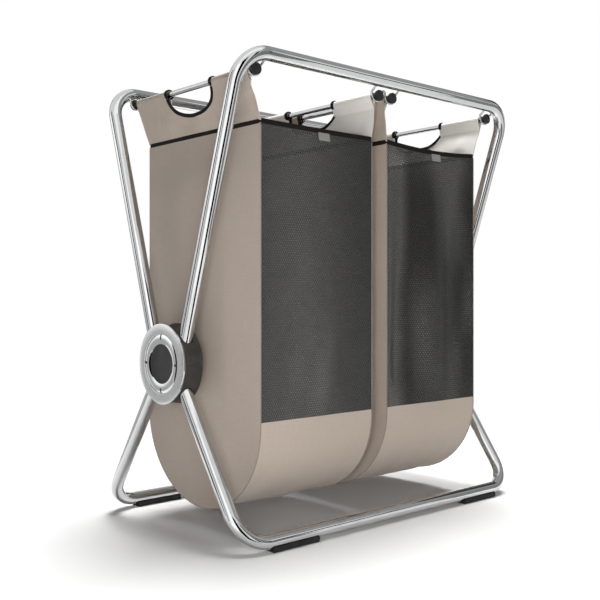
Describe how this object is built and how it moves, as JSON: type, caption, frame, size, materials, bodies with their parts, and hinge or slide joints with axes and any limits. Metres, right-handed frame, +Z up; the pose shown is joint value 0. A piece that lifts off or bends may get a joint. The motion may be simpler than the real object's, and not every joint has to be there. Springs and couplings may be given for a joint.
{
  "type": "laundry hamper",
  "caption": "Folding laundry hamper with a crossed frame of bent chrome tube, round pivot hubs and hanging canvas and mesh bins side by side.",
  "frame": {"origin": "on the floor, below the middle of the hamper", "axes": "+X to the right along the bars, seen from the front; +Y from the front to the back; +Z up"},
  "size_m": [0.594, 0.351, 0.6533],
  "materials": {
    "chrome": "polished",
    "satin_ring": "satin",
    "steel": "satin",
    "dark_plastic": "matte",
    "black_plastic": "satin",
    "pad_rubber": "matte",
    "canvas": "woven",
    "pale_canvas": "woven",
    "mesh_net": "open net",
    "black_tape": "woven tape"
  },
  "bodies": {
    "rear_frame": {"rear_top_frame": "chrome", "front_bottom_frame": "chrome", "front_left_foot_pad": "pad_rubber", "front_right_foot_pad": "pad_rubber", "rear_left_hook": "chrome", "rear_middle_hook": "chrome", "rear_right_hook": "chrome", "left_hub_base_shell": "dark_plastic", "right_hub_base_shell": "dark_plastic", "left_hub_pivot_bolt": "steel", "right_hub_pivot_bolt": "steel"},
    "front_frame": {"front_top_frame": "chrome", "rear_bottom_frame": "chrome", "rear_left_foot_pad": "pad_rubber", "rear_right_foot_pad": "pad_rubber", "front_left_hook": "chrome", "front_middle_hook": "chrome", "front_right_hook": "chrome", "left_hub_cover_shell": "dark_plastic", "right_hub_cover_shell": "dark_plastic", "left_hub_flange_ring": "satin_ring", "right_hub_flange_ring": "satin_ring", "left_hub_bezel_ring": "chrome", "right_hub_bezel_ring": "chrome", "left_hub_button_spring": "steel", "right_hub_button_spring": "steel"},
    "left_button": {"left_hub_release_button": "black_plastic"},
    "right_button": {"right_hub_release_button": "black_plastic"},
    "left_bag": {"left_bag_front_mesh": "mesh_net", "left_bag_back_mesh": "mesh_net", "left_bag_bottom_sling": "canvas", "left_bag_outer_side": "canvas", "left_bag_inner_side": "canvas", "left_bag_hem_tape": "black_tape", "left_bag_outer_flap": "pale_canvas", "left_bag_inner_flap": "pale_canvas", "left_outer_handle_binding": "black_tape", "left_inner_handle_binding": "black_tape", "left_outer_rod": "steel", "left_outer_rod_front_cap": "black_plastic", "left_outer_rod_rear_cap": "black_plastic", "left_inner_rod": "steel", "left_inner_rod_front_cap": "black_plastic", "left_inner_rod_rear_cap": "black_plastic"},
    "right_bag": {"right_bag_front_mesh": "mesh_net", "right_bag_back_mesh": "mesh_net", "right_bag_bottom_sling": "canvas", "right_bag_outer_side": "canvas", "right_bag_inner_side": "canvas", "right_bag_hem_tape": "black_tape", "right_bag_outer_flap": "pale_canvas", "right_bag_inner_flap": "pale_canvas", "right_outer_handle_binding": "black_tape", "right_inner_handle_binding": "black_tape", "right_outer_rod": "steel", "right_outer_rod_front_cap": "black_plastic", "right_outer_rod_rear_cap": "black_plastic", "right_inner_rod": "steel", "right_inner_rod_front_cap": "black_plastic", "right_inner_rod_rear_cap": "black_plastic"}
  },
  "joints": [
    {"name": "fold", "type": "hinge", "parent": "rear_frame", "child": "front_frame", "pos_m": [0, 0, 0.236], "axis": [-1, 0, 0], "range_deg": [0, 38], "deforming": ["left_bag_outer_flap", "left_bag_inner_flap", "right_bag_outer_flap", "right_bag_inner_flap", "left_outer_handle_binding", "left_inner_handle_binding", "right_outer_handle_binding", "right_inner_handle_binding"]},
    {"name": "left_bag_follow", "type": "hinge", "parent": "front_frame", "child": "left_bag", "pos_m": [-0.13, -0.144, 0.61795], "axis": [1, 0, 0], "range_deg": [0, 19]},
    {"name": "right_bag_follow", "type": "hinge", "parent": "front_frame", "child": "right_bag", "pos_m": [0.13, -0.144, 0.61795], "axis": [1, 0, 0], "range_deg": [0, 19]},
    {"name": "left_button_press", "type": "slide", "parent": "front_frame", "child": "left_button", "axis": [1, 0, 0], "range_m": [0, 0.004], "stiffness_N_per_m": 400, "springref_m": -0.003, "deforming": ["left_hub_button_spring"]},
    {"name": "right_button_press", "type": "slide", "parent": "front_frame", "child": "right_button", "axis": [-1, 0, 0], "range_m": [0, 0.004], "stiffness_N_per_m": 400, "springref_m": -0.003, "deforming": ["right_hub_button_spring"]}
  ],
  "couplings": [
    {"joint": "left_bag_follow", "follows": "fold", "ratio": 0.5},
    {"joint": "right_bag_follow", "follows": "fold", "ratio": 0.5}
  ]
}
